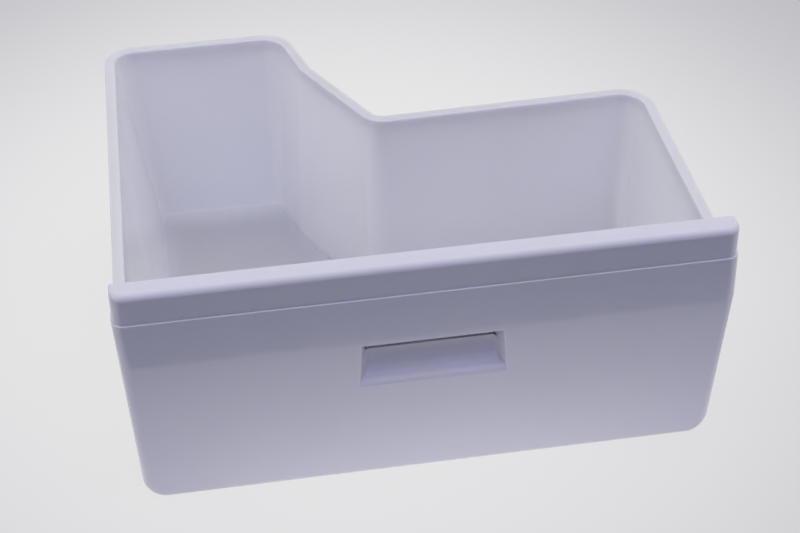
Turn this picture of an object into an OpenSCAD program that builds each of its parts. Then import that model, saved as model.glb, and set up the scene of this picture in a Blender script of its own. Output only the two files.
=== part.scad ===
// Freezer compartment drawer: a deep tapered bin with an L-shaped plan, and a tray-shaped front panel
// that hooks over the front rim of the bin. Millimetres. X runs across the front, Y runs from the
// front to the back and Z is up. The origin is the middle of the footprint, at the panel's lower edge.

/* [Overall] */
// Height from the lower edge of the front panel to its top
drawer_h = 190; // [170:1:220]
// Depth from the face of the top strip to the rear rim of the long side
drawer_d = 340; // [300:1:420]
// Width of the front panel across its top strip
front_w = 440; // [410:1:480]

/* [Bin plan] */
// Distance from the middle of the front to the left rim
rim_left = 216.5; // [205:0.5:225]
// Distance from the middle of the front to the right rim
rim_right = 205.5; // [190:0.5:216]
// Width of the long side's rear rim, from the left rim to its right corner
lobe_w = 149; // [120:1:190]
// Depth from the top strip's face to the rim of the short side, beside the step
short_d = 197; // [170:1:225]
// Angle by which the short side's rear rim runs back towards the right
short_skew = 1.5; // [0:0.5:4]
// Depth at which the side of the long part turns into the slanted wall
kink_d = 281; // [250:1:320]
// Angle of the long part's right side from straight back
lobe_angle = 14; // [6:1:20]
// Angle of the slanted wall from straight back
slant_angle = 27; // [22:1:40]

/* [Bin walls] */
// Wall thickness of the bin
bin_wall = 2.5; // [2:0.1:3.5]
// Floor thickness of the bin
floor_t = 2.5; // [2:0.1:3.5]
// Height of the floor's top above the panel's lower edge
floor_h = 27.5; // [14:0.5:40]
// How far the left wall leans in from rim to floor
lean_left = 22; // [10:1:26]
// How far the right wall leans in from rim to floor
lean_right = 12; // [6:1:20]
// How far the rear wall of the long side leans in
lean_back = 8; // [4:1:14]
// How far the walls beside the step lean in
lean_step = 9; // [4:1:14]
// How far the short side's rear wall leans in
lean_short = 13; // [6:1:18]
// How far the front wall leans in
lean_front = 12; // [6:1:16]
// Fillet between floor and walls, inside
floor_fillet = 3; // [1.5:0.5:4]
// Depth of the shallow panel under the floor
sole_recess = 0.8; // [0.4:0.1:1.2]
// Width of the foot border round that panel
sole_border = 9; // [6:1:14]

/* [Bin rim] */
// Width of the flat rim flange
flange_w = 8; // [6:0.5:11]
// Thickness of the rim flange
flange_t = 2.2; // [1.8:0.1:3]
// Height of the turned-down edge of the flange
lip_h = 6; // [4:0.5:9]
// Thickness of the turned-down edge
lip_t = 1.6; // [1.2:0.1:2.2]
// Rounding of the rim's inner edge
rim_round = 1.2; // [0.6:0.1:1.8]

/* [Front panel] */
// Wall thickness of the panel
panel_wall = 2.5; // [2:0.1:3.2]
// Depth of the top strip and of the panel's returned edges
return_d = 17.5; // [15.5:0.5:24]
// Height of the top strip down to the ledge
strip_h = 24.5; // [18:0.5:34]
// How far the panel stands proud below the ledge
ledge_d = 1; // [0.5:0.1:1.5]
// Depth of the crease below the top
crease_h = 60; // [48:1:75]
// How far the crease stands forward of the strip's face
crease_out = 2; // [1.5:0.5:6]
// Half height of the soft bend at the crease
crease_soft = 5; // [2:0.5:6]
// How far the lower edge sits behind the strip's face
foot_in = 0; // [0:0.5:6]
// Taper of the panel's left end from ledge to crease
band_left = 1.5; // [0:0.5:4]
// Taper of the panel's left end from crease to lower edge
taper_left = 4.5; // [2:0.5:12]
// Taper of the panel's right end from crease to lower edge
taper_right = 10.5; // [4:0.5:14]
// Rounding of the strip's front edge
top_round = 5; // [3:0.5:7]
// Rounding of the strip's end edges
end_round = 2; // [1:0.5:2.5]
// Fillet inside the strip, where the rim flange tucks in
inner_round = 1; // [0.4:0.1:1.2]
// Rounding of the top strip's rear edge
back_round = 0.8; // [0.4:0.1:1.2]
// Plan radius of the panel's two front corners
corner_r = 9; // [6:0.5:12]
// Radius of the panel's lower corners, seen from the front
foot_corner_r = 16; // [12:1:24]
// Rounding of the panel's lower front edge
foot_round = 6; // [4:0.5:7]
// Gap between the panel and the bin where they fit together
fit_gap = 0.3; // [0.2:0.05:0.5]

/* [Finger pull] */
// Width of the finger pull's opening at its upper edge
pull_w = 102; // [80:1:130]
// How much wider the opening gets at each end towards its lip
pull_flare = 2.5; // [0:0.5:4]
// Height of the opening from the lip's crest to the upper edge
pull_h = 33; // [26:1:40]
// Distance from the crease down to the opening's upper edge
pull_drop = 5; // [5:0.5:12]
// Rounding where the face rolls over the lip into the pull
pull_lip_r = 5; // [2.5:0.5:6]
// Depth of the scoop behind the panel's face
pull_depth = 12; // [9:0.5:14]
// Height of the open slot above the scoop, where the fingers hook up behind the panel
pull_slot = 12.5; // [8:0.5:14]
// Draft of the pull's two ends
pull_draft = 22; // [5:1:28]

/* [Panel ribs] */
// Number of stiffening ribs on each side of the finger pull
rib_pairs = 3; // [1:1:3]
// Thickness of the ribs
rib_t = 1.8; // [1.4:0.1:2.4]
// Distance from the finger pull to the first rib
rib_start = 12; // [9:1:20]
// Spacing of the ribs
rib_pitch = 46; // [32:1:48]
// How far the rib toes reach under the bin's floor
toe_d = 14; // [8:1:20]
// Height of the rib toes at their tips
toe_h = 4; // [3:0.5:6]
// Width of one catch, which hooks up behind the rim's turned-down edge
catch_w = 18; // [10:1:26]
// Thickness of the catches
catch_t = 2; // [1.6:0.1:2.6]

/* [Hidden] */

white_bin = "#e4e4ee";
white_panel = "#dcdce8";

// Steps in a plan corner, a small rounding, one half of the crease, the pull's lip and its scoop
corner_steps = 10;
round_steps = 4;
crease_steps = 2;
lip_steps = 6;
scoop_steps = 9;
// How far a cutting shape reaches past the face it opens
over = 1;

// Heights
rim_z = drawer_h - panel_wall;
floor_z = floor_h;
sole_z = floor_h - floor_t;
ledge_z = drawer_h - strip_h;
crease_z = drawer_h - crease_h;

// The panel's rear opening lets the rim flange in with a gap, and the bin's front wall stands behind it
flange_y = panel_wall + fit_gap;
bin_front_y = flange_y + flange_w;

function facing(a) = [cos(a), sin(a)];

// Walls of the bin in plan, anticlockwise: the direction each one faces, a point on its inner rim line,
// and how far it leans in at the floor
kink_pt = [lobe_w - rim_left + (drawer_d - kink_d) * tan(lobe_angle), kink_d];
walls = [
    [270, [0, bin_front_y], lean_front],
    [0, [rim_right - flange_w, 0], lean_right],
    [90 + short_skew, [0, short_d - flange_w], lean_short],
    [slant_angle, kink_pt - flange_w * facing(slant_angle), lean_step],
    [lobe_angle, kink_pt - flange_w * facing(lobe_angle), lean_step],
    [90, [0, drawer_d - flange_w], lean_back],
    [180, [flange_w - rim_left, 0], lean_left]
];
// Inner radius of the corner after each wall, at the rim and at the floor
corner_rim = [8, 18, 20, 40, 20, 15, 8];
corner_floor = [6, 7, 18, 36, 7, 6, 6];

// Distance of wall i from the datum at depth share t, moved outwards by d
function wall_c(i, t, d) = facing(walls[i][0]) * walls[i][1] - walls[i][2] * t + d;

// Point where wall i meets the next one
function wall_meet(i, t, d) =
    let (
        j = (i + 1) % len(walls),
        a = facing(walls[i][0]),
        b = facing(walls[j][0]),
        ca = wall_c(i, t, d),
        cb = wall_c(j, t, d),
        det = a.x * b.y - a.y * b.x
    )
    [(ca * b.y - cb * a.y) / det, (a.x * cb - b.x * ca) / det];

function turn(i) =
    let (s = walls[(i + 1) % len(walls)][0] - walls[i][0])
    s > 180 ? s - 360 : (s < -180 ? s + 360 : s);

// Arc that rounds the corner after wall i
function corner_arc(i, t, d) =
    let (
        a0 = walls[i][0],
        s = turn(i),
        side = s > 0 ? 1 : -1,
        r = max(0.5, corner_rim[i] + (corner_floor[i] - corner_rim[i]) * t + side * d),
        a = facing(a0),
        b = facing(a0 + s),
        centre = wall_meet(i, t, d) - side * r * (a + b) / (1 + a * b)
    )
    [for (k = [0:corner_steps]) centre + side * r * facing(a0 + s * k / corner_steps)];

// Plan outline of the bin at depth share t, moved outwards by d
function bin_outline(t, d) = [for (i = [0:len(walls) - 1]) each corner_arc(i, t, d)];

function at_height(outline, z) = [for (p = outline) [p.x, p.y, z]];

// Depth share of a height: 0 at the rim and 1 at the floor
function share(z) = (rim_z - z) / (rim_z - floor_z);

// Outer face of the bin's front wall at height z
function bin_wall_y(z) = bin_front_y - bin_wall + lean_front * share(z);

// Closed solid through a stack of rings with equal numbers of points, first ring at the start cap
module loft(rings) {
    n = len(rings[0]);
    m = len(rings);
    points = [for (r = rings) each r];
    sides = [
        for (k = [0:m - 2]) for (j = [0:n - 1])
            let (a = k * n + j, b = k * n + (j + 1) % n)
            each [[a, b, b + n], [a, b + n, a + n]]
    ];
    start_cap = [[for (j = [n - 1:-1:0]) j]];
    end_cap = [[for (j = [0:n - 1]) (m - 1) * n + j]];
    polyhedron(points, concat(start_cap, sides, end_cap), convexity = 8);
}

// Section of the bin as [height, outward offset] pairs, from the floor up the inside, over the rim,
// down the outside and under the floor
function quarter(z, d, r, a0, a1) = [
    for (k = [0:round_steps])
        let (a = a0 + (a1 - a0) * k / round_steps)
        [z + r * sin(a), d + r * cos(a)]
];
outer_fillet = floor_fillet + bin_wall;
under_z = rim_z - flange_t;
lip_z = rim_z - lip_h;
inside_section = concat(
    quarter(floor_z + floor_fillet, -floor_fillet, floor_fillet, -90, 0),
    quarter(rim_z - rim_round, rim_round, rim_round, 180, 90)
);
flange_section = concat(
    quarter(rim_z - rim_round, flange_w - rim_round, rim_round, 90, 0),
    [
        [lip_z, flange_w],
        [lip_z, flange_w - lip_t],
        [under_z, flange_w - lip_t]
    ]
);
// The shallow recess under the floor leaves a narrow border to slide on
outside_section = concat(
    [[under_z, bin_wall]],
    quarter(sole_z + outer_fillet, bin_wall - outer_fillet, outer_fillet, 0, -90),
    [
        [sole_z, -floor_fillet - sole_border],
        [sole_z + sole_recess, -floor_fillet - sole_border]
    ]
);

// The walls lean, while the flange and its turned-down edge stay upright.
// A resize by zeros keeps every size, and makes the whole moulding one mesh.
module bin() {
    color(white_bin) stand() resize([0, 0, 0]) loft(concat(
        [for (s = inside_section) at_height(bin_outline(share(s[0]), s[1]), s[0])],
        [for (s = flange_section) at_height(bin_outline(0, s[1]), s[0])],
        [for (s = outside_section) at_height(bin_outline(share(s[0]), s[1]), s[0])]
    ));
}

// Skin of the front panel, moved inwards by o: [height, face, left end, right end] from the top down
half_w = front_w / 2;
proud_w = half_w + ledge_d;
function above_crease(z) = max(0, z - crease_z) / (ledge_z - crease_z);
function below_crease(z) = max(0, crease_z - z) / crease_z;
function end_left(z) = proud_w - band_left * (1 - above_crease(z)) - taper_left * below_crease(z);
function end_right(z) = proud_w - taper_right * below_crease(z);
// The face leans forward down to the crease and back below it, with a soft bend between the two
band_slope = (crease_out - ledge_d) / (ledge_z - crease_z);
apron_slope = (crease_out + foot_in) / crease_z;
function face_y(z) =
    let (u = z - crease_z, c = crease_soft)
    -crease_out + (
        u > c ? band_slope * u
        : u < -c ? -apron_slope * u
        : (band_slope * pow(u + c, 2) + apron_slope * pow(c - u, 2)) / (4 * c)
    );

// The footprint runs from the crease, where the face stands furthest forward, to the rear rim
crease_levels = [for (k = [crease_steps:-1:-crease_steps]) crease_z + crease_soft * k / crease_steps];
front_y = min([for (z = crease_levels) face_y(z)]);
middle_y = (drawer_d + front_y) / 2;

module stand() {
    translate([0, -middle_y, 0]) children();
}

// Inward step at height z of a rounding with radius r whose centre lies r above the lower edge
function foot_step(z, r, o) = z < r ? r - sqrt(max(0, pow(r - o, 2) - pow(r - z, 2))) : o;

function panel_levels(o) = let (
        r = o > 0 ? inner_round : top_round,
        e = o > 0 ? inner_round : end_round
    ) concat(
    [
        for (k = [round_steps * 2:-1:0])
            let (
                a = 90 * k / (round_steps * 2),
                end = half_w - o - e + e * cos(a)
            )
            [drawer_h - o - r + r * sin(a), o + r - r * cos(a), end, end]
    ],
    [
        [ledge_z - o, o, half_w - o, half_w - o],
        [ledge_z - o, face_y(ledge_z) + o, proud_w - o, proud_w - o]
    ],
    [for (z = crease_levels) [z, face_y(z) + o, end_left(z) - o, end_right(z) - o]],
    [
        for (k = [0:corner_steps])
            let (z = foot_corner_r - (foot_corner_r - o) * sin(90 * k / corner_steps))
            [
                z,
                face_y(z) + foot_step(z, foot_round, o),
                end_left(z) - foot_step(z, foot_corner_r, o),
                end_right(z) - foot_step(z, foot_corner_r, o)
            ]
    ]
);

// The strip's rear edge is rounded
function rear_y(z, back_y) =
    let (h = z - drawer_h + back_round)
    h > 0 ? back_y - back_round + sqrt(max(0, pow(back_round, 2) - h * h)) : back_y;

// Plan outline of the panel at one level: a straight back and two rounded front corners
function panel_ring(level, back_y, o) =
    let (
        z = level[0],
        y = level[1],
        r = corner_r - o,
        left = -level[2],
        right = level[3]
    )
    concat(
        [[left, rear_y(z, back_y), z]],
        [
            for (k = [0:corner_steps])
                let (a = 180 + 90 * k / corner_steps)
                [left + r + r * cos(a), y + r + r * sin(a), z]
        ],
        [
            for (k = [0:corner_steps])
                let (a = 270 + 90 * k / corner_steps)
                [right - r + r * cos(a), y + r + r * sin(a), z]
        ],
        [[right, rear_y(z, back_y), z]]
    );

module panel_skin(o, back_y) {
    loft([for (level = panel_levels(o)) panel_ring(level, back_y, o)]);
}

function backwards(list) = [for (k = [len(list) - 1:-1:0]) list[k]];

// The panel's own wall: a tray that is open at the back, as one closed surface
module panel_tray() {
    outer = panel_levels(0);
    inner = panel_levels(panel_wall);
    n = len(panel_ring(outer[0], return_d, 0));
    m = len(outer);
    rings = [
        for (k = [0:m - 1]) concat(
            panel_ring(outer[k], return_d, 0),
            backwards(panel_ring(inner[k], return_d, panel_wall))
        )
    ];
    sides = [
        for (k = [0:m - 2]) for (j = [0:2 * n - 1])
            let (a = 2 * n * k + j, b = 2 * n * k + (j + 1) % (2 * n))
            each [[a, b, b + 2 * n], [a, b + 2 * n, a + 2 * n]]
    ];
    q = 2 * n * (m - 1);
    ends = [
        [for (j = [n - 1:-1:0]) j],
        [for (j = [2 * n - 1:-1:n]) j],
        [n - 1, 0, 2 * n - 1, n],
        [for (j = [0:n - 1]) q + j],
        [for (j = [n:2 * n - 1]) q + j],
        [q + n, q + 2 * n - 1, q, q + n - 1]
    ];
    polyhedron([for (r = rings) each r], concat(sides, ends), convexity = 8);
}

// Finger pull: the face rolls over a lip into a scoop, and the fingers hook up through a slot above it
pull_top = crease_z - pull_drop;
pull_crest = pull_top - pull_h;
pull_foot = pull_crest - pull_lip_r;
scoop_top = pull_top - pull_slot;
lip_y = face_y(pull_foot);
// The scoop stays clear of the bin's front wall behind it
pull_back = min(lip_y + pull_depth, bin_wall_y(pull_top) - panel_wall - fit_gap);

// Depth and height along the lip and the scoop
scoop_path = concat(
    [
        for (k = [0:lip_steps])
            let (a = 90 * k / lip_steps)
            [lip_y + pull_lip_r * (1 - cos(a)), pull_foot + pull_lip_r * sin(a)]
    ],
    [
        for (k = [1:scoop_steps])
            let (a = 90 * k / scoop_steps)
            [
                lip_y + pull_lip_r + (pull_back - lip_y - pull_lip_r) * sin(a),
                pull_crest + (scoop_top - pull_crest) * (1 - cos(a))
            ]
    ]
);
// The cutting shapes start well in front of the face
pull_lead = 10;
pull_front = lip_y - pull_lead;
cavity_section = concat(
    [[pull_front, pull_foot]],
    scoop_path,
    [[return_d + over, scoop_top], [return_d + over, pull_top], [pull_front, pull_top]]
);
shell_section = concat(
    [[pull_front, pull_foot]],
    scoop_path,
    [[pull_back, pull_top + panel_wall], [pull_front, pull_top + panel_wall]]
);

// The space between the pull's two drafted ends
module pull_ends(grow) {
    slant = tan(pull_draft);
    loft([
        for (z = [pull_top, pull_foot - 2 * panel_wall])
            let (
                half = pull_w / 2 + grow + pull_flare * (pull_top - z) / (pull_top - pull_foot),
                front = half + (lip_y - pull_front) * slant,
                rear = half - (return_d + over - lip_y) * slant
            )
            [
                [-front, pull_front, z],
                [front, pull_front, z],
                [rear, return_d + over, z],
                [-rear, return_d + over, z]
            ]
    ]);
}

module pull_extrude() {
    rotate([90, 0, 90]) linear_extrude(2 * pull_w, center = true) children();
}

module pull_cavity() {
    intersection() {
        pull_extrude() polygon(cavity_section);
        pull_ends(0);
    }
}

// The pull's walls, with their inside still solid
module pull_block() {
    intersection() {
        pull_extrude() offset(r = panel_wall) polygon(shell_section);
        pull_ends(panel_wall);
        panel_skin(0, return_d);
    }
}

// One stiffening rib: it fills the tray's depth in front of the bin and puts a toe under the floor
catch_top = lip_z - fit_gap;
rib_top = catch_top - catch_t / 2;
toe_z = sole_z - fit_gap;
mid_wall = panel_wall / 2;
module rib(x) {
    translate([x - rib_t / 2, 0, 0]) rotate([90, 0, 90]) linear_extrude(rib_t) polygon([
        [0, mid_wall],
        [return_d, mid_wall],
        [bin_wall_y(sole_z) + toe_d, toe_z - toe_h],
        [bin_wall_y(sole_z) + toe_d, toe_z],
        [bin_wall_y(sole_z + outer_fillet) - fit_gap, toe_z],
        [bin_wall_y(sole_z + outer_fillet) - fit_gap, sole_z + outer_fillet],
        [bin_wall_y(rib_top) - fit_gap, rib_top],
        [0, rib_top]
    ]);
}

// One catch: an arm on a rib, with a tip that stands up behind the flange's turned-down edge
module rim_catch(x) {
    tip_y = flange_y + lip_t + fit_gap;
    tip_z = catch_top + lip_h / 2;
    translate([x - catch_w / 2, 0, 0]) rotate([90, 0, 90]) linear_extrude(catch_w) polygon([
        [mid_wall, catch_top - catch_t],
        [tip_y + catch_t, catch_top - catch_t],
        [tip_y + catch_t, tip_z],
        [tip_y, tip_z],
        [tip_y, catch_top],
        [mid_wall, catch_top]
    ]);
}

// Ribs stand on each side of the pull, and every second one carries a catch
rib_first = pull_w / 2 + rib_start;
function rib_x(k) = rib_first + k * rib_pitch;

// Again one mesh
module front_panel() {
    color(white_panel) stand() resize([0, 0, 0]) difference() {
        union() {
            panel_tray();
            pull_block();
            intersection() {
                for (side = [-1, 1]) for (k = [0:rib_pairs - 1]) rib(side * rib_x(k));
                panel_skin(mid_wall, bin_front_y + lean_front + toe_d + over);
            }
            for (side = [-1, 1]) for (k = [0:2:rib_pairs - 1]) rim_catch(side * rib_x(k));
        }
        pull_cavity();
    }
}

bin();
front_panel();
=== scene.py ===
import math

import bmesh
import bpy
from mathutils import Matrix, Vector


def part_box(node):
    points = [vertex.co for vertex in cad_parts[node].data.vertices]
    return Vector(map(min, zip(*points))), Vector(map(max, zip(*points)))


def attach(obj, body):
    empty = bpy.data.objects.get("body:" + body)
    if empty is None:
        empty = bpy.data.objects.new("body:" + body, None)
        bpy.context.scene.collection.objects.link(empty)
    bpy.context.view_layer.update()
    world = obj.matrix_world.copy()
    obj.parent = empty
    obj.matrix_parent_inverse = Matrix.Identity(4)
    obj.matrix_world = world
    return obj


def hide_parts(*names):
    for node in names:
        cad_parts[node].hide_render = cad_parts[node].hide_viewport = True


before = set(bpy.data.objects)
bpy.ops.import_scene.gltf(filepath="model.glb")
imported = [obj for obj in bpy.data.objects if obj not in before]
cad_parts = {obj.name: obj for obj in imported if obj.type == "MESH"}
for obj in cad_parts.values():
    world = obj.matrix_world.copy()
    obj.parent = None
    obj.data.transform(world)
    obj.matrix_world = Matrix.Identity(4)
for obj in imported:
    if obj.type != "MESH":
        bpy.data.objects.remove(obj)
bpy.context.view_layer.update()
print("frame loaded")

mm = 0.001

# Sizes that both mouldings share, in millimetres: x from the middle of the front, y from the face of
# the top strip, z from the panel's lower edge
drawer = {
    "height": 190,
    "depth": 340,
    "frontWidth": 440,
    "wall": 2.5,
    "gap": 0.3,
}
rimZ = drawer["height"] - drawer["wall"]
# The frame has its origin in the middle of the footprint, this far behind the top strip's face
middleY = drawer["depth"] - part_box("bin")[1].y / mm


# Colour from a hex code as the screen shows it, turned into the linear values that nodes use
def hexColour(code):
    def linear(c):
        return c / 12.92 if c <= 0.04045 else ((c + 0.055) / 1.055) ** 2.4

    return [linear(int(code[i:i + 2], 16) / 255) for i in (1, 3, 5)] + [1]


# Adds one node with its settings, its input values and the links into it
def addNode(tree, kind, values=None, links=None, **settings):
    node = tree.nodes.new(kind)
    for key, value in settings.items():
        setattr(node, key, value)
    for key, value in (values or {}).items():
        node.inputs[key].default_value = value
    for key, socket in (links or {}).items():
        tree.links.new(socket, node.inputs[key])
    return node


def newMaterial(name):
    material = bpy.data.materials.new(name)
    material.use_nodes = True
    material.node_tree.nodes.clear()
    return material, material.node_tree


# Moulded polystyrene: white with a cool cast, satin from the mould's fine blasting, and translucent, so
# that the eye sees light from outside shine softly through the bin's thin walls
binPlastic = {
    "name": "moulded_polystyrene_bin",
    "slot": "bin_polystyrene",
    "tint": "#e3e3ea",
    "deeperTint": "#dfdfe7",
    "roughness": 0.17,
    "roughnessSpread": 0.03,
    "ior": 1.59,  # polystyrene
    "gloss": 0.7,
    "scatter": 1.0,
    "scatterRadius": (0.0105, 0.0105, 0.0115),  # in metres, for red, green and blue
    "noiseDetail": 2.0,
    "flowSize": 55,
    "flowBreakUp": 0.45,
    # Blasting leaves marks of about 0.15 mm, too fine to show, so the grain is drawn coarser than it is
    "grainSize": 0.45,
    "grainBreakUp": 0.5,
    "grainHeight": 0.004,
    "grainStrength": 0.35,
}
# The panel is the same plastic with more pigment, so its edges stay crisp
panelPlastic = dict(
    binPlastic,
    name="moulded_polystyrene_panel",
    slot="panel_polystyrene",
    tint="#e0e0e7",
    deeperTint="#dcdce4",
    scatterRadius=(0.0015, 0.0015, 0.0018),
)


def makePolystyrene(p):
    material, tree = newMaterial(p["name"])
    place = addNode(tree, "ShaderNodeTexCoord").outputs["Object"]
    # The melt's flow leaves the colour very slightly uneven over a few centimetres
    flow = addNode(
        tree, "ShaderNodeTexNoise",
        {
            "Scale": 1 / (p["flowSize"] * mm),
            "Detail": p["noiseDetail"],
            "Roughness": p["flowBreakUp"],
        },
        {"Vector": place},
    ).outputs["Fac"]
    colour = addNode(
        tree, "ShaderNodeMix",
        {"A": hexColour(p["deeperTint"]), "B": hexColour(p["tint"])},
        {"Factor": flow},
        data_type="RGBA",
    )
    # The mould's blasted surface: fine grain that breaks up the sheen
    grain = addNode(
        tree, "ShaderNodeTexNoise",
        {
            "Scale": 1 / (p["grainSize"] * mm),
            "Detail": p["noiseDetail"],
            "Roughness": p["grainBreakUp"],
        },
        {"Vector": place},
    ).outputs["Fac"]
    bump = addNode(
        tree, "ShaderNodeBump",
        {"Strength": p["grainStrength"], "Distance": p["grainHeight"] * mm},
        {"Height": grain},
    )
    sheen = addNode(
        tree, "ShaderNodeMapRange",
        {"To Min": p["roughness"] - p["roughnessSpread"], "To Max": p["roughness"] + p["roughnessSpread"]},
        {"Value": flow},
    )
    shader = addNode(
        tree, "ShaderNodeBsdfPrincipled",
        {
            "IOR": p["ior"],
            "Specular IOR Level": p["gloss"],
            "Subsurface Weight": p["scatter"],
            "Subsurface Radius": p["scatterRadius"],
            "Subsurface Scale": 1.0,
        },
        {
            "Base Color": colour.outputs["Result"],
            "Roughness": sheen.outputs["Result"],
            "Normal": bump.outputs["Normal"],
        },
    )
    addNode(tree, "ShaderNodeOutputMaterial", links={"Surface": shader.outputs["BSDF"]})
    return material


plastics = {"bin": binPlastic, "front_panel": panelPlastic}

# Edges that turn by more than this many degrees are shaded sharp
sharpAngle = 38


# Faces given as lists of points in millimetres become points in metres and faces of their numbers,
# welded where points meet
def weldFaces(faces):
    places = {}
    points = []
    corners = []
    for face in faces:
        ids = []
        for p in face:
            key = tuple(round(c, 3) for c in p)  # to a micrometre
            if key not in places:
                places[key] = len(points)
                points.append((p[0] * mm, (p[1] - middleY) * mm, p[2] * mm))
            if places[key] not in ids:
                ids.append(places[key])
        if len(ids) > 2:
            corners.append(ids)
    return points, corners


# One moulding in place of its CAD node
def makePiece(name, faces, node):
    points, corners = weldFaces(faces)
    mesh = bpy.data.meshes.new(name)
    mesh.from_pydata(points, [], corners)
    mesh.validate()
    work = bmesh.new()
    work.from_mesh(mesh)
    bmesh.ops.recalc_face_normals(work, faces=work.faces)
    work.to_mesh(mesh)
    work.free()
    mesh.shade_smooth()
    mesh.set_sharp_from_angle(angle=math.radians(sharpAngle))
    piece = bpy.data.objects.new(name, mesh)
    bpy.context.scene.collection.objects.link(piece)
    piece.data.materials.append(makePolystyrene(plastics[node]))
    normals = piece.modifiers.new("face_weighted_normals", "WEIGHTED_NORMAL")
    normals.keep_sharp = True
    normals.weight = 100  # large faces lead
    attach(piece, "root")
    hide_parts(node)
    return piece


# Side faces between rings that have the same number of points
def loftFaces(rings, closed=True):
    faces = []
    for low, high in zip(rings, rings[1:]):
        count = len(low)
        for j in range(count if closed else count - 1):
            k = (j + 1) % count
            faces.append([low[j], low[k], high[k], high[j]])
    return faces


# Points of an arc in a plane of the section: centre, radius, first and last angle in degrees
def arc(cx, cy, radius, first, last, steps):
    return [
        (
            cx + radius * math.cos(math.radians(first + (last - first) * k / steps)),
            cy + radius * math.sin(math.radians(first + (last - first) * k / steps)),
        )
        for k in range(steps + 1)
    ]


def direction(degrees):
    return Vector((math.cos(math.radians(degrees)), math.sin(math.radians(degrees))))


# The bin: an L-shaped tub whose walls lean in, with a flat rim flange that is turned down outside
tub = {
    "rimLeft": 216.5,
    "rimRight": 205.5,
    "longWidth": 149,
    "shortDepth": 197,
    "shortSkew": 1.5,
    "kinkDepth": 281,
    "longAngle": 14,
    "slantAngle": 27,
    "flange": 8,
    "flangeThick": 2.2,
    "lipHeight": 6,
    "lipThick": 1.6,
    "rimRound": 1.2,
    "floorZ": 27.5,
    "floorThick": 2.5,
    "floorFillet": 3,
    "soleRecess": 0.8,
    "soleBorder": 9,
    "edge": 0.5,
    "leastRadius": 0.5,
    # The walls in order: front, right, short rear, slanted, long right, rear, left. Each radius is that of
    # the corner after its wall.
    "lean": (12, 12, 13, 9, 9, 8, 22),
    "rimRadius": (8, 18, 20, 40, 20, 15, 8),
    "floorRadius": (6, 7, 18, 36, 7, 6, 6),
    "cornerSteps": 18,
    "roundSteps": 6,
    "edgeSteps": 3,
    "wallSteps": 6,
}
frontWall = 0
rearWall = 5
soleZ = tub["floorZ"] - tub["floorThick"]


def tubWalls():
    t = tub
    stepX = t["longWidth"] - t["rimLeft"]
    kink = Vector((
        stepX + (drawer["depth"] - t["kinkDepth"]) * math.tan(math.radians(t["longAngle"])),
        t["kinkDepth"],
    ))
    frontY = drawer["wall"] + drawer["gap"] + t["flange"]
    inner = [
        (270, Vector((0, frontY))),
        (0, Vector((t["rimRight"] - t["flange"], 0))),
        (90 + t["shortSkew"], Vector((0, t["shortDepth"] - t["flange"]))),
        (t["slantAngle"], kink - t["flange"] * direction(t["slantAngle"])),
        (t["longAngle"], kink - t["flange"] * direction(t["longAngle"])),
        (90, Vector((0, drawer["depth"] - t["flange"]))),
        (180, Vector((t["flange"] - t["rimLeft"], 0))),
    ]
    return [(angle, direction(angle) @ point) for angle, point in inner]


walls = tubWalls()


# Depth share of a height: 0 at the rim and 1 at the floor
def share(z):
    return (rimZ - z) / (rimZ - tub["floorZ"])


# Plan outline at depth share t, moved outwards by d
def tubOutline(t, d):
    points = []
    steps = tub["cornerSteps"]
    for i, (angle, offset) in enumerate(walls):
        j = (i + 1) % len(walls)
        nextAngle, nextOffset = walls[j]
        a, b = direction(angle), direction(nextAngle)
        ca = offset - tub["lean"][i] * t + d
        cb = nextOffset - tub["lean"][j] * t + d
        det = a.x * b.y - a.y * b.x
        meet = Vector(((ca * b.y - cb * a.y) / det, (a.x * cb - b.x * ca) / det))
        turn = (nextAngle - angle + 180) % 360 - 180
        side = 1 if turn > 0 else -1
        r = tub["rimRadius"][i] + (tub["floorRadius"][i] - tub["rimRadius"][i]) * t + side * d
        r = max(tub["leastRadius"], r)
        centre = meet - side * r * (a + b) / (1 + a @ b)
        for k in range(steps + 1):
            points.append(centre + side * r * direction(angle + turn * k / steps))
    return points


# Outside of the bin's front wall at a height
def binFrontY(z):
    flangeY = drawer["wall"] + drawer["gap"]
    return flangeY + tub["flange"] - drawer["wall"] + tub["lean"][frontWall] * share(z)


# Section as (outward offset, height): up the inside, over the rim, then down the outside to the sole
def tubSection():
    t = tub
    steps = t["roundSteps"]
    fillet = t["floorFillet"]
    wall = drawer["wall"]
    outerFillet = fillet + wall
    r = t["rimRound"]
    inside = arc(-fillet, t["floorZ"] + fillet, fillet, -90, 0, steps)
    low, high = t["floorZ"] + fillet, rimZ - r
    inside += [(0, low + (high - low) * k / t["wallSteps"]) for k in range(1, t["wallSteps"])]
    inside += arc(r, rimZ - r, r, 180, 90, steps)

    edge = t["edge"]
    few = t["edgeSteps"]
    lipZ = rimZ - t["lipHeight"]
    underZ = rimZ - t["flangeThick"]
    flange = arc(t["flange"] - r, rimZ - r, r, 90, 0, steps)
    flange += arc(t["flange"] - edge, lipZ + edge, edge, 0, -90, few)
    flange += arc(t["flange"] - t["lipThick"] + edge, lipZ + edge, edge, -90, -180, few)
    flange += arc(t["flange"] - t["lipThick"] - edge, underZ - edge, edge, 0, 90, few)

    outside = arc(wall + edge, underZ - edge, edge, 90, 180, few)
    low, high = soleZ + outerFillet, underZ - edge
    outside += [(wall, high + (low - high) * k / t["wallSteps"]) for k in range(1, t["wallSteps"])]
    outside += arc(wall - outerFillet, soleZ + outerFillet, outerFillet, 0, -90, steps)
    border = -fillet - t["soleBorder"]
    outside += [(border, soleZ), (border, soleZ + t["soleRecess"])]
    return inside, flange, outside


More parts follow.
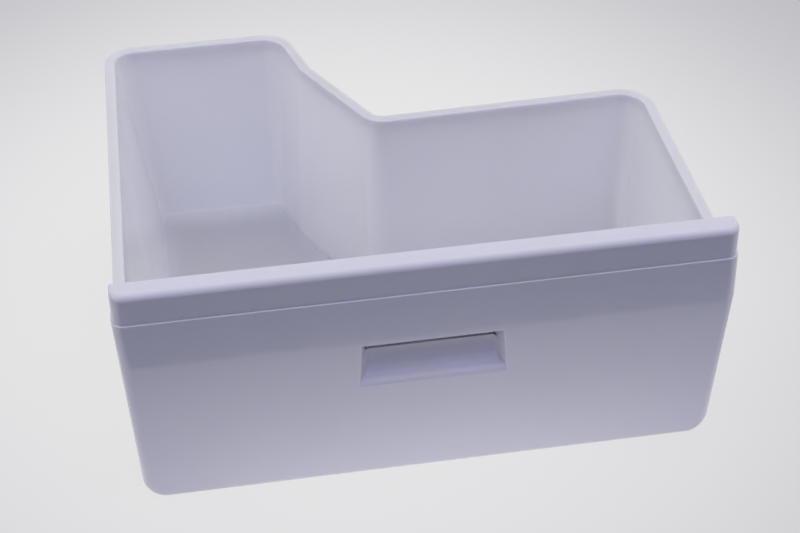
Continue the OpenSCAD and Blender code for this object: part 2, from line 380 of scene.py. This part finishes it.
# The flange keeps to the rim's outline, and the walls inside and outside lean in below it
def makeBin():
    inside, flange, outside = tubSection()
    rings = []
    for group, leans in ((inside, True), (flange, False), (outside, True)):
        for d, z in group:
            plan = tubOutline(share(z) if leans else 0, d)
            rings.append([(p.x, p.y, z) for p in plan])
    return makePiece("bin_moulding", loftFaces(rings) + [rings[0], rings[-1]], "bin")


makeBin()
print("bin made")

# The front panel: a tray that is open at the back and hooks over the bin's front rim
panel = {
    "returnDepth": 17.5,
    "strip": 24.5,
    "ledge": 1,
    "creaseDown": 60,
    "creaseOut": 2,
    "creaseSoft": 5,
    # The bend's levels as shares of its softness. The lowest is left out, because the finger pull's
    # rolled upper edge lies there.
    "bendLevels": (1, 0.5, 0, -0.5),
    "bandLeft": 1.5,
    "taperLeft": 4.5,
    "taperRight": 10.5,
    "topRound": 5,
    "endRound": 2,
    "innerRound": 1,
    "backRound": 0.8,
    "ledgeRound": 0.35,
    "ledgeRoundInside": 0.1,
    "roundMiddle": 0.3,  # share of a small round at which its middle lies from its corner
    "cornerRadius": 9,
    "footCorner": 16,
    "footRound": 6,
    "cornerSteps": 12,
    "roundSteps": 12,
    "footSteps": 18,
}
halfWidth = drawer["frontWidth"] / 2
proudWidth = halfWidth + panel["ledge"]
ledgeZ = drawer["height"] - panel["strip"]
creaseZ = drawer["height"] - panel["creaseDown"]


def endLeft(z):
    above = max(0, z - creaseZ) / (ledgeZ - creaseZ)
    below = max(0, creaseZ - z) / creaseZ
    return proudWidth - panel["bandLeft"] * (1 - above) - panel["taperLeft"] * below


def endRight(z):
    return proudWidth - panel["taperRight"] * max(0, creaseZ - z) / creaseZ


# The face leans forward down to the crease and back below it, with a soft bend between the two
def faceY(z):
    up = (panel["creaseOut"] - panel["ledge"]) / (ledgeZ - creaseZ)
    down = panel["creaseOut"] / creaseZ
    u, c = z - creaseZ, panel["creaseSoft"]
    if u > c:
        rise = up * u
    elif u < -c:
        rise = -down * u
    else:
        rise = (up * (u + c) ** 2 + down * (c - u) ** 2) / (4 * c)
    return rise - panel["creaseOut"]


# How far inside the face the skin lies at height z, if it is moved in by o and its foot is rounded by r
def footStep(z, r, o):
    return r - math.sqrt(max(0, (r - o) ** 2 - (r - z) ** 2)) if z < r else o


# Levels of the skin moved inwards by o, from the top down: height, face, left end, right end
def panelLevels(o):
    p = panel
    r = p["innerRound"] if o else p["topRound"]
    e = p["innerRound"] if o else p["endRound"]
    levels = []
    for k in range(p["roundSteps"], -1, -1):
        a = math.radians(90 * k / p["roundSteps"])
        end = halfWidth - o - e + e * math.cos(a)
        levels.append((drawer["height"] - o - r + r * math.sin(a), o + r - r * math.cos(a), end, end))
    # The ledge's inner corner and its outer edge are slightly rounded, with three levels each
    soft = p["ledgeRoundInside"] if o else p["ledgeRound"]
    part = p["roundMiddle"] * soft
    ledgeFace = faceY(ledgeZ) + o
    z = ledgeZ - o
    stripEnd = halfWidth - o
    proudEnd = proudWidth - o
    for height, face, end in (
        (z + soft, o, stripEnd),
        (z + part, o - part, stripEnd + part),
        (z, o - soft, stripEnd + soft),
        (z, ledgeFace + soft, proudEnd - soft),
        (z - part, ledgeFace + part, proudEnd - part),
        (z - soft, ledgeFace, proudEnd),
    ):
        levels.append((height, face, end, end))
    for level in p["bendLevels"]:
        z = creaseZ + p["creaseSoft"] * level
        levels.append((z, faceY(z) + o, endLeft(z) - o, endRight(z) - o))
    for k in range(p["footSteps"] + 1):
        a = math.radians(90 * k / p["footSteps"])
        z = p["footCorner"] - (p["footCorner"] - o) * math.sin(a)
        levels.append((
            z,
            faceY(z) + footStep(z, p["footRound"], o),
            endLeft(z) - footStep(z, p["footCorner"], o),
            endRight(z) - footStep(z, p["footCorner"], o),
        ))
    return levels


# Plan outline at one level, from the left rear round the two front corners to the right rear
def panelRing(level, o):
    z, y, left, right = level
    r = panel["cornerRadius"] - o
    backY = panel["returnDepth"]
    h = z - drawer["height"] + panel["backRound"]
    if h > 0:
        backY += math.sqrt(max(0, panel["backRound"] ** 2 - h * h)) - panel["backRound"]
    steps = panel["cornerSteps"]
    ring = [(-left, backY, z)]
    ring += [(x, v, z) for x, v in arc(r - left, y + r, r, 180, 270, steps)]
    ring += [(x, v, z) for x, v in arc(right - r, y + r, r, 270, 360, steps)]
    ring.append((right, backY, z))
    return ring


# The finger pull: the face rolls over a lip into a scoop, and the fingers hook up through a slot above it
pull = {
    "width": 102,
    "flare": 2.5,
    "height": 33,
    "drop": 5,
    "lip": 5,
    "depth": 12,
    "slot": 12.5,
    "draft": 22,
    "edge": 0.8,
    "fillet": 3,
    "margin": 1.5,
    "roundLimit": 0.4,  # share of the depth that a round may take
    "edgeSteps": 4,
    "filletSteps": 5,
    "lipSteps": 12,
    "scoopSteps": 18,
    "slotSteps": 4,
}
pullTop = creaseZ - pull["drop"]
pullCrest = pullTop - pull["height"]
pullFoot = pullCrest - pull["lip"]
scoopTop = pullTop - pull["slot"]
lipY = faceY(pullFoot)
pullBack = min(lipY + pull["depth"], binFrontY(pullTop) - drawer["wall"] - drawer["gap"])
pullSlant = math.tan(math.radians(pull["draft"]))


# Depth and height along the lip and the scoop
def scoopPath():
    path = []
    for k in range(pull["lipSteps"] + 1):
        a = math.radians(90 * k / pull["lipSteps"])
        path.append((lipY + pull["lip"] * (1 - math.cos(a)), pullFoot + pull["lip"] * math.sin(a)))
    start = lipY + pull["lip"]
    for k in range(1, pull["scoopSteps"] + 1):
        a = math.radians(90 * k / pull["scoopSteps"])
        path.append((
            start + (pullBack - start) * math.sin(a),
            pullCrest + (scoopTop - pullCrest) * (1 - math.cos(a)),
        ))
    return path


# Half the pull's width on the face at a height
def pullHalf(z):
    return pull["width"] / 2 + pull["flare"] * (pullTop - z) / (pullTop - pullFoot)


# The rounds of one level of the pull as (distance from its end line, depth): first over the edge, then
# from the drafted end into the scoop
def edgeCurve(radius):
    turn = 90 - pull["draft"]
    reach = radius * math.tan(math.radians(turn / 2))
    curve = []
    for k in range(pull["edgeSteps"] + 1):
        a = math.radians(turn * k / pull["edgeSteps"])
        curve.append((reach - radius * math.sin(a), radius * (1 - math.cos(a))))
    return curve


def filletCurve(radius, depth):
    turn = 90 - pull["draft"]
    reach = radius * math.tan(math.radians(turn / 2))
    endX = -pullSlant * depth
    curve = []
    for k in range(pull["filletSteps"], -1, -1):
        a = math.radians(turn * k / pull["filletSteps"])
        curve.append((endX - reach + radius * math.sin(a), depth - radius * (1 - math.cos(a))))
    return curve


# Rows across the lip and the scoop, from the face on the left to the face on the right
def scoopRows():
    rows = []
    for y, z in scoopPath():
        face = faceY(z)
        depth = y - face
        half = pullHalf(z)
        limit = pull["roundLimit"] * depth
        curve = edgeCurve(min(pull["edge"], limit))
        curve += filletCurve(min(pull["fillet"], limit), depth)
        right = [(half + pull["margin"], face, z)] + [(half + dx, face + d, z) for dx, d in curve]
        rows.append([(-x, y, z) for x, y, z in right] + right[::-1])
    return rows


# Columns of the right end above the scoop, each from the face back through the slot
def slotColumns():
    slotDepth = pullBack + drawer["wall"]
    steps = pull["slotSteps"]
    columns = []
    for j in range(steps + 1):
        z = scoopTop + (pullTop - scoopTop) * j / steps
        face = faceY(z)
        half = pullHalf(z)
        top = j == steps
        column = [(half + pull["margin"], face, z)]
        for k, (dx, d) in enumerate(edgeCurve(pull["edge"])):
            # At the corner of the opening the side's edge meets the upper edge in a mitre
            a = math.radians(90 * k / pull["edgeSteps"])
            rise = pull["edge"] * (1 - math.sin(a)) if top else 0
            column.append((half + dx, face + d, z + rise))
        if top:
            column[0] = (half + pull["margin"], faceY(z + pull["edge"]), z + pull["edge"])
        column.append((half - pullSlant * (slotDepth - face), slotDepth, z))
        columns.append(column)
    return columns


# The front of the pull, and the face round it between two rings of the panel's skin
def pullFront(upper, lower):
    wall = drawer["wall"]
    rows = scoopRows()
    columns = slotColumns()
    faces = loftFaces(rows, closed=False)
    faces += loftFaces(columns, closed=False)
    faces += loftFaces([[(-x, y, z) for x, y, z in column] for column in columns], closed=False)

    # The upper edge, rolled under, and the wall's underside
    corner = columns[-1][:pull["edgeSteps"] + 2]
    under = [(corner[-1][0] - pullSlant * (wall - pull["edge"]), faceY(pullTop) + wall, pullTop)]
    upperRow = corner + under
    faces += loftFaces([upperRow, [(-x, y, z) for x, y, z in upperRow]], closed=False)

    # The face round the opening, as four flat pieces
    steps = panel["cornerSteps"]
    upperLeft, upperRight = upper[1 + steps], upper[2 + steps]
    lowerLeft, lowerRight = lower[1 + steps], lower[2 + steps]
    rightColumn = [row[-1] for row in rows] + [column[0] for column in columns[1:]]
    leftColumn = [(-x, y, z) for x, y, z in rightColumn]
    faces.append([upperLeft, upperRight, rightColumn[-1], leftColumn[-1]])
    faces.append([upperRight, lowerRight] + rightColumn)
    faces.append([lowerRight, lowerLeft] + rows[0])
    faces.append([lowerLeft, upperLeft] + leftColumn[::-1])
    return faces


# Half the pull's width between its drafted ends, at a depth and a height
def halfAt(y, z):
    return pullHalf(z) - pullSlant * (y - faceY(z))


# Depth and height along the hidden side of the scoop's plate
def scoopBack():
    wall = drawer["wall"]
    path = scoopPath()
    back = []
    for k, (y, z) in enumerate(path):
        a, b = path[max(0, k - 1)], path[min(len(path) - 1, k + 1)]
        along = Vector((b[0] - a[0], b[1] - a[1])).normalized()
        back.append((y + along.y * wall, z - along.x * wall))
    back[0] = (faceY(pullFoot) + wall, pullFoot)
    return back


# Outer side, top edge and rear edge of one end of the pull
def pullEnd(back, side):
    wall = drawer["wall"]
    slotDepth = pullBack + wall
    topY = faceY(pullTop) + wall
    rear = [(side * (halfAt(y, z) + wall), y, z) for y, z in back]
    skin = [(side * (halfAt(faceY(z) + wall, z) + wall), faceY(z) + wall, z) for y, z in back]
    topRear = (side * (halfAt(slotDepth, pullTop) + wall), slotDepth, pullTop)
    topSkin = (side * (halfAt(topY, pullTop) + wall), topY, pullTop)
    innerTop = (side * halfAt(slotDepth, pullTop), slotDepth, pullTop)
    innerLow = (side * halfAt(slotDepth, scoopTop), slotDepth, scoopTop)
    innerSkin = (side * halfAt(topY, pullTop), topY, pullTop)
    faces = loftFaces([rear, skin], closed=False)
    faces.append([rear[-1], skin[-1], topSkin, topRear])
    faces.append([innerTop, topRear, rear[-1], innerLow])
    faces.append([innerTop, topRear, topSkin, innerSkin])
    return faces


# The skin's inner side round the pull
def skinRound(back, upper, lower):
    wall = drawer["wall"]
    topY = faceY(pullTop) + wall
    steps = panel["cornerSteps"]
    upperLeft, upperRight = upper[1 + steps], upper[2 + steps]
    lowerLeft, lowerRight = lower[1 + steps], lower[2 + steps]
    right = [(halfAt(faceY(z) + wall, z) + wall, faceY(z) + wall, z) for y, z in back]
    right.append((halfAt(topY, pullTop) + wall, topY, pullTop))
    left = [(-x, y, z) for x, y, z in right]
    innerTopRight = (halfAt(topY, pullTop), topY, pullTop)
    innerTopLeft = (-innerTopRight[0],) + innerTopRight[1:]
    return [
        [upperLeft, upperRight, right[-1], innerTopRight, innerTopLeft, left[-1]],
        [upperRight, lowerRight] + right,
        [lowerRight, lowerLeft, left[0], right[0]],
        [lowerLeft, upperLeft] + left[::-1],
    ]


# The hidden side of the pull: the back and the top edge of the scoop's plate, the two ends and the skin
def pullRear(upper, lower):
    wall = drawer["wall"]
    slotDepth = pullBack + wall
    back = scoopBack()
    inner = halfAt(pullBack, scoopTop)
    outer = halfAt(slotDepth, scoopTop)
    plate = [[(-halfAt(y, z) - wall, y, z), (halfAt(y, z) + wall, y, z)] for y, z in back]
    faces = loftFaces(plate, closed=False)
    faces.append([
        (-inner, pullBack, scoopTop),
        (inner, pullBack, scoopTop),
        (outer, slotDepth, scoopTop),
        (-outer, slotDepth, scoopTop),
    ])
    for side in (-1, 1):
        faces += pullEnd(back, side)
    return faces + skinRound(back, upper, lower)


# Ribs and catches on the hidden side
ribs = {
    "pairs": 3,
    "thick": 1.8,
    "start": 12,
    "pitch": 46,
    "toe": 14,
    "toeHeight": 4,
    "catchWidth": 18,
    "catchThick": 2,
    "middleZ": 60,
}


# A plate of the given thickness across x, with its outline in (y, z)
def prism(profile, x, thick):
    left = [(x - thick / 2, y, z) for y, z in profile]
    right = [(x + thick / 2, y, z) for y, z in profile]
    return [left, right] + [
        [left[k], left[(k + 1) % len(left)], right[(k + 1) % len(left)], right[k]]
        for k in range(len(left))
    ]


catchTop = rimZ - tub["lipHeight"] - drawer["gap"]


# Outline of a rib in (y, z), with its toe under the bin's floor and its rear along the bin's wall
def ribProfile():
    gap = drawer["gap"]
    half = drawer["wall"] / 2
    top = catchTop - ribs["catchThick"] / 2
    toeY = binFrontY(soleZ) + ribs["toe"]
    toeZ = soleZ - gap
    filletZ = soleZ + tub["floorFillet"] + drawer["wall"]
    filletY = binFrontY(filletZ) - gap
    seams = (ledgeZ - half, creaseZ, ribs["middleZ"], panel["footRound"])
    return [
        (panel["footRound"], half),
        (panel["returnDepth"], half),
        (toeY, toeZ - ribs["toeHeight"]),
        (toeY, toeZ),
        (filletY, toeZ),
        (filletY, filletZ),
        (binFrontY(top) - gap, top),
        (half, top),
    ] + [(faceY(z) + half, z) for z in seams]


# Outline of a catch in (y, z): a shelf under the rim's turned-down edge that hooks up behind it
def catchProfile():
    half = drawer["wall"] / 2
    thick = ribs["catchThick"]
    tipY = drawer["wall"] + drawer["gap"] + tub["lipThick"] + drawer["gap"]
    tipZ = catchTop + tub["lipHeight"] / 2
    return [
        (half, catchTop - thick),
        (tipY + thick, catchTop - thick),
        (tipY + thick, tipZ),
        (tipY, tipZ),
        (tipY, catchTop),
        (half, catchTop),
    ]


def ribFaces():
    rib = ribProfile()
    catch = catchProfile()
    faces = []
    for side in (-1, 1):
        for k in range(ribs["pairs"]):
            x = side * (pull["width"] / 2 + ribs["start"] + k * ribs["pitch"])
            faces += prism(rib, x, ribs["thick"])
            # The first and the third rib on each side have a catch
            if k % 2 == 0:
                faces += prism(catch, x, ribs["catchWidth"])
    return faces


def makePanel():
    outer = [panelRing(level, 0) for level in panelLevels(0)]
    inner = [panelRing(level, drawer["wall"]) for level in panelLevels(drawer["wall"])]
    # The pull lies between the last level of the bend and the first of the foot
    gapAt = len(outer) - panel["footSteps"] - 2
    faces = []
    for rings, patch in ((outer, pullFront), (inner, pullRear)):
        sides = loftFaces(rings, closed=False)
        perPair = len(rings[0]) - 1
        middle = gapAt * perPair + 1 + panel["cornerSteps"]
        del sides[middle]
        faces += sides
        faces += patch(rings[gapAt], rings[gapAt + 1])
        faces += [rings[0], rings[-1]]
    # The edge all round the open back
    faces += loftFaces([[ring[0] for ring in outer], [ring[0] for ring in inner]], closed=False)
    faces += loftFaces([[ring[-1] for ring in outer], [ring[-1] for ring in inner]], closed=False)
    for k in (0, -1):
        faces.append([outer[k][0], outer[k][-1], inner[k][-1], inner[k][0]])
    return makePiece("panel_moulding", faces + ribFaces(), "front_panel")


makePanel()
print("front panel made")

# The drawer stands tipped back on the panel's lower edge and the rear of the sole, on a wide pale table.
# The table gives light round the drawer, most of it before the middle of the front and little under the
# drawer. Some way in front the dark room begins, and the table gives none.
table = {
    "reach": 3000,
    "below": 0.1,  # keeps it just clear of the drawer
    # Painted light: the colour that the eye sees is seen round the drawer and fades to the darker seenFar
    # further away
    "seen": "#ebeaea",
    "seenFar": "#b8b7bd",
    "seenStrength": 0.86,
    "paintedLightFrom": (-50, 60),
    "paintedLightSpan": (200, 720),
    "shade": "#585858",
    "litFrom": (-345, -322),
    "lit": 0.6,
    "covered": (200, 150),
    "coveredEdge": (0.8, 1.1),
    "under": 0.17,
    "poolAt": (0, -290),
    "poolFade": (70, 320),
    "pool": 0.42,
}


# A soft change from one value to another with the distance from a point of the table
def fadeRound(tree, place, centre, span, first, last):
    away = addNode(
        tree, "ShaderNodeVectorMath",
        {1: (centre[0] * mm, centre[1] * mm, 0)},
        {0: place},
        operation="DISTANCE",
    ).outputs["Value"]
    return addNode(
        tree, "ShaderNodeMapRange",
        {"From Min": span[0] * mm, "From Max": span[1] * mm, "To Min": first, "To Max": last},
        {"Value": away},
        interpolation_type="SMOOTHSTEP",
    ).outputs["Result"]


# 1 for rays that see the background as it is: the camera's, and where mirroredWhere is 1 also those of
# gloss and glass
def seenBy(tree, mirroredWhere=None):
    ray = addNode(tree, "ShaderNodeLightPath").outputs
    mirrored = addNode(
        tree, "ShaderNodeMath",
        links={0: ray["Is Glossy Ray"], 1: ray["Is Transmission Ray"]},
        operation="MAXIMUM",
    ).outputs[0]
    if mirroredWhere is not None:
        mirrored = addNode(
            tree, "ShaderNodeMath", links={0: mirrored, 1: mirroredWhere}, operation="MULTIPLY",
        ).outputs[0]
    return addNode(
        tree, "ShaderNodeMath", links={0: ray["Is Camera Ray"], 1: mirrored}, operation="MAXIMUM",
    ).outputs[0]


# 1 where the table is lit at all and 0 in the dark room in front
def tableClear(tree, place):
    dark, clear = table["litFrom"]
    along = addNode(tree, "ShaderNodeSeparateXYZ", links={0: place}).outputs["Y"]
    return addNode(
        tree, "ShaderNodeMapRange",
        {"From Min": dark * mm, "From Max": clear * mm},
        {"Value": along},
        interpolation_type="SMOOTHSTEP",
    ).outputs["Result"]


# How much light the table gives: little under the drawer, and a brighter pool before its front
def tableLight(tree, place, clear):
    t = table
    beside = addNode(
        tree, "ShaderNodeVectorMath",
        {1: (t["covered"][0] * mm, t["covered"][1] * mm, 1.0)},
        {0: place},
        operation="DIVIDE",
    ).outputs[0]
    away = addNode(tree, "ShaderNodeVectorMath", links={0: beside}, operation="ABSOLUTE").outputs[0]
    shares = addNode(tree, "ShaderNodeSeparateXYZ", links={0: away}).outputs
    furthest = addNode(
        tree, "ShaderNodeMath", links={0: shares["X"], 1: shares["Y"]}, operation="MAXIMUM",
    ).outputs[0]
    uncovered = addNode(
        tree, "ShaderNodeMapRange",
        {
            "From Min": t["coveredEdge"][0],
            "From Max": t["coveredEdge"][1],
            "To Min": t["under"],
            "To Max": t["lit"],
        },
        {"Value": furthest},
        interpolation_type="SMOOTHSTEP",
    ).outputs["Result"]
    pool = fadeRound(tree, place, t["poolAt"], t["poolFade"], t["pool"], 0.0)
    level = addNode(tree, "ShaderNodeMath", links={0: uncovered, 1: pool}, operation="ADD").outputs[0]
    return addNode(tree, "ShaderNodeMath", links={0: clear, 1: level}, operation="MULTIPLY").outputs[0]


# Matt pale table top: the eye sees its colour with painted light on it, lighter round the drawer and
# darker towards its far parts, and the drawer's shadow
def makeTableTop():
    t = table
    material, tree = newMaterial("matt_table_top")
    place = addNode(tree, "ShaderNodeTexCoord").outputs["Object"]
    # Painted light: lighter round the drawer, darker towards the table's far parts
    seen = addNode(
        tree, "ShaderNodeMix",
        {"A": hexColour(t["seen"]), "B": hexColour(t["seenFar"])},
        {"Factor": fadeRound(tree, place, t["paintedLightFrom"], t["paintedLightSpan"], 0.0, 1.0)},
        data_type="RGBA",
    ).outputs["Result"]
    pale = addNode(tree, "ShaderNodeEmission", {"Strength": t["seenStrength"]}, {"Color": seen}).outputs[0]
    shaded = addNode(tree, "ShaderNodeBsdfDiffuse", {"Color": hexColour(t["shade"])}).outputs[0]
    eye = addNode(tree, "ShaderNodeAddShader", links={0: pale, 1: shaded}).outputs[0]
    clear = tableClear(tree, place)
    glow = addNode(
        tree, "ShaderNodeEmission", links={"Strength": tableLight(tree, place, clear)},
    ).outputs[0]
    both = addNode(
        tree, "ShaderNodeMixShader", links={0: seenBy(tree, clear), 1: glow, 2: eye},
    ).outputs[0]
    addNode(tree, "ShaderNodeOutputMaterial", links={"Surface": both})
    return material


def makeTable():
    t = table
    frontY = panel["returnDepth"]
    rearY = drawer["depth"] - tub["flange"] - tub["lean"][rearWall] - tub["floorFillet"]
    slope = soleZ / (rearY - frontY)
    corners = []
    for x, y in ((-1, -1), (1, -1), (1, 1), (-1, 1)):
        y *= t["reach"]
        z = (y + middleY - frontY) * slope - t["below"]
        corners.append((x * t["reach"] * mm, y * mm, z * mm))
    mesh = bpy.data.meshes.new("table")
    mesh.from_pydata(corners, [], [(0, 1, 2, 3)])
    top = bpy.data.objects.new("table", mesh)
    bpy.context.scene.collection.objects.link(top)
    mesh.materials.append(makeTableTop())


makeTable()

# The studio round the drawer: two broad white glows high at its sides and a bluish one in front. Each
# starts at its near value and is full at its far value of the cosine from its direction.
studio = {
    "seen": "#b8b7bd",
    "glows": {
        "highLeft": {"toward": (-1, 0.3, 1), "near": 0.6, "far": 0.95, "strength": 1.25, "hue": "#ffffff"},
        "highRight": {"toward": (1, 0.3, 1), "near": 0.6, "far": 0.95, "strength": 1.45, "hue": "#ffffff"},
        "front": {"toward": (0, -1, 1.1), "near": 0.85, "far": 0.97, "strength": 1.95, "hue": "#cdcdff"},
    },
}


def makeStudio():
    world = bpy.data.worlds.new("studio")
    bpy.context.scene.world = world
    world.use_nodes = True
    tree = world.node_tree
    tree.nodes.clear()
    toward = addNode(tree, "ShaderNodeTexCoord").outputs["Generated"]
    total = None
    for glow in studio["glows"].values():
        cosine = addNode(
            tree, "ShaderNodeVectorMath",
            {1: Vector(glow["toward"]).normalized()},
            {0: toward},
            operation="DOT_PRODUCT",
        ).outputs["Value"]
        strength = addNode(
            tree, "ShaderNodeMapRange",
            {"From Min": glow["near"], "From Max": glow["far"], "To Max": glow["strength"]},
            {"Value": cosine},
            interpolation_type="SMOOTHSTEP",
        ).outputs["Result"]
        light = addNode(
            tree, "ShaderNodeBackground",
            {"Color": hexColour(glow["hue"])},
            {"Strength": strength},
        ).outputs[0]
        if total:
            light = addNode(tree, "ShaderNodeAddShader", links={0: total, 1: light}).outputs[0]
        total = light
    # Past the table the background is as pale as the table's far parts
    pale = addNode(tree, "ShaderNodeBackground", {"Color": hexColour(studio["seen"])}).outputs[0]
    both = addNode(
        tree, "ShaderNodeMixShader", links={0: seenBy(tree), 1: total, 2: pale},
    ).outputs[0]
    addNode(tree, "ShaderNodeOutputWorld", links={"Surface": both})


makeStudio()
print("table and lights made")

# The camera stands where the photograph was taken from, found from the drawer's own corners
viewpoint = {
    "place": (-151.1, -923.5, 900.4),
    "pitch": 37.28,
    "yaw": 7.95,
    "roll": -1.5,
    "focalPixels": 1721.0,
    "imageWidth": 800,
    "sensorWidth": 36,
    "clipStart": 0.05,
    "clipEnd": 20,
}


def makeCamera():
    v = viewpoint
    data = bpy.data.cameras.new("camera")
    data.sensor_width = v["sensorWidth"]
    data.lens = v["focalPixels"] / v["imageWidth"] * data.sensor_width
    data.clip_start = v["clipStart"]
    data.clip_end = v["clipEnd"]
    camera = bpy.data.objects.new("camera", data)
    # Rows of the turn: the picture's right, its down and the view's forward, first for a level view along y
    looking = Matrix(((1, 0, 0), (0, 0, -1), (0, 1, 0)))
    turn = (
        Matrix.Rotation(math.radians(v["roll"]), 3, "Z")
        @ Matrix.Rotation(math.radians(v["pitch"]), 3, "X")
        @ looking
        @ Matrix.Rotation(math.radians(v["yaw"]), 3, "Z")
    )
    right, down, forward = turn
    axes = Matrix((right, -down, -forward)).transposed()
    x, y, z = v["place"]
    camera.matrix_world = Matrix.Translation((x * mm, (y - middleY) * mm, z * mm)) @ axes.to_4x4()
    bpy.context.scene.collection.objects.link(camera)
    bpy.context.scene.camera = camera


makeCamera()
bpy.context.scene.view_settings.view_transform = "Standard"
print("camera made")
